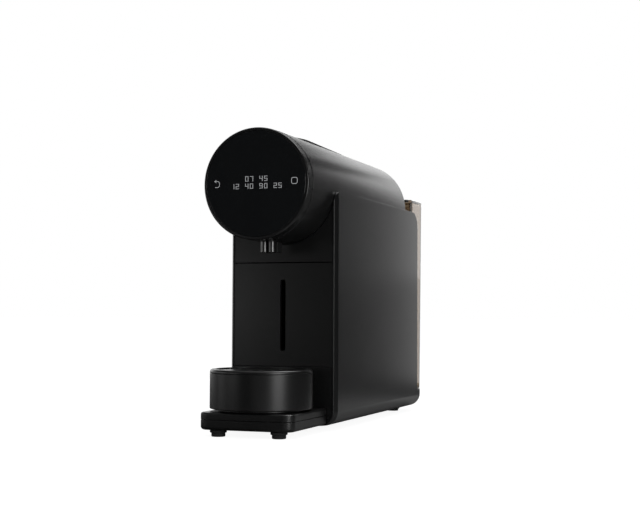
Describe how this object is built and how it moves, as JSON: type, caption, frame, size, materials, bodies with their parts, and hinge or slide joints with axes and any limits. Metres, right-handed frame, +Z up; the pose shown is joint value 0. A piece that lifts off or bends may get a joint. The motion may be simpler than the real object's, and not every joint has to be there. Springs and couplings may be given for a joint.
{
  "type": "pod coffee machine",
  "caption": "Slim pod coffee machine: round horizontal head with a turning dial display, twin spout, drip cup on a low base, slotted capsule bin and a tank behind.",
  "frame": {"origin": "centre of the overall outline at the underside of the feet", "axes": "+Z up, +Y from the dial to the water tank, +X to the right when seen from the front"},
  "size_m": [0.1104, 0.421, 0.2831],
  "materials": {
    "shell_satin": "satin painted, very fine texture",
    "satin_black": "satin moulded",
    "inner_black": "matt moulded",
    "display_gloss": "polished",
    "rubber_black": "matt",
    "chrome": "polished",
    "steel": "turned",
    "tank_smoke": "clear, smoke tinted",
    "board_green": "solder mask",
    "cast_aluminium": "as cast",
    "white_plastic": "moulded",
    "hose_silicone": "matt"
  },
  "bodies": {
    "machine": {"outer_shell": "shell_satin", "chassis": "inner_black", "rear_panel": "inner_black", "tank_dock": "inner_black", "cord_gland": "rubber_black", "upper_front_panel": "satin_black", "lower_front_panel": "satin_black", "bin_bay": "inner_black", "base_tray": "satin_black", "base_plate": "satin_black", "foot_front_left": "rubber_black", "foot_front_right": "rubber_black", "foot_rear_left": "rubber_black", "foot_rear_right": "rubber_black", "head_tube": "shell_satin", "display_glass": "display_gloss", "display_housing": "inner_black", "display_board": "board_green", "display_module": "display_gloss", "lid_track": "inner_black", "spout_block": "inner_black", "spout_nozzle_left": "chrome", "spout_nozzle_right": "chrome", "spout_manifold": "white_plastic", "brew_plate": "white_plastic", "capsule_guide_left": "white_plastic", "capsule_guide_right": "white_plastic", "guide_rod_left": "steel", "guide_rod_right": "steel", "drive_bulkhead": "inner_black", "motor_bracket": "steel", "drive_motor": "steel", "pump": "cast_aluminium", "pump_mount_front": "rubber_black", "pump_mount_rear": "rubber_black", "thermoblock": "cast_aluminium", "main_board": "board_green", "flow_meter": "white_plastic", "suction_hose": "hose_silicone", "pressure_hose": "hose_silicone"},
    "dial": {"dial_ring": "shell_satin"},
    "sliding_lid": {"capsule_lid": "satin_black"},
    "bin": {"bin_front": "satin_black", "capsule_bin": "satin_black"},
    "cup": {"drip_cup": "satin_black"},
    "cup_lid": {"drip_lid": "satin_black"},
    "screw": {"lead_screw": "steel", "screw_gear": "white_plastic"},
    "piston": {"brew_piston": "white_plastic"},
    "pinion": {"motor_pinion": "steel"},
    "tank": {"tank_body": "tank_smoke", "tank_valve": "inner_black"},
    "tank_lid": {"tank_lid": "tank_smoke", "tank_grip": "satin_black"},
    "plunger": {"valve_plunger": "white_plastic"}
  },
  "joints": [
    {"name": "dial_turn", "type": "hinge", "parent": "machine", "child": "dial", "pos_m": [0, -0.17995, 0.2308], "axis": [0, 1, 0], "continuous": true},
    {"name": "lid_slide", "type": "slide", "parent": "machine", "child": "sliding_lid", "axis": [0, 1, 0], "range_m": [0, 0.068]},
    {"name": "bin_slide", "type": "slide", "parent": "machine", "child": "bin", "axis": [0, -1, 0], "range_m": [0, 0.105]},
    {"name": "cup_pull", "type": "slide", "parent": "machine", "child": "cup", "axis": [0, -1, 0], "range_m": [0, 0.105]},
    {"name": "cup_lid_lift", "type": "slide", "parent": "cup", "child": "cup_lid", "axis": [0, 0, 1], "range_m": [0, 0.03]},
    {"name": "screw_turn", "type": "hinge", "parent": "machine", "child": "screw", "pos_m": [0, 0, 0.2308], "axis": [0, 1, 0], "range_deg": [0, 722]},
    {"name": "piston_slide", "type": "slide", "parent": "machine", "child": "piston", "axis": [0, -1, 0], "range_m": [0, 0.04]},
    {"name": "pinion_turn", "type": "hinge", "parent": "machine", "child": "pinion", "pos_m": [0, 0, 0.2568], "axis": [0, 1, 0], "range_deg": [-2401, 0]},
    {"name": "tank_lift", "type": "slide", "parent": "machine", "child": "tank", "axis": [0, 0, 1], "range_m": [0, 0.04]},
    {"name": "tank_lid_lift", "type": "slide", "parent": "tank", "child": "tank_lid", "axis": [0, 0, 1], "range_m": [0, 0.03]},
    {"name": "valve_push", "type": "slide", "parent": "tank", "child": "plunger", "axis": [0, 0, 1], "range_m": [0, 0.002], "stiffness_N_per_m": 300, "springref_m": -0.001}
  ],
  "couplings": [
    {"joint": "screw_turn", "follows": "piston_slide", "rad_per_m": 314.16},
    {"joint": "pinion_turn", "follows": "piston_slide", "rad_per_m": -1047.2}
  ]
}
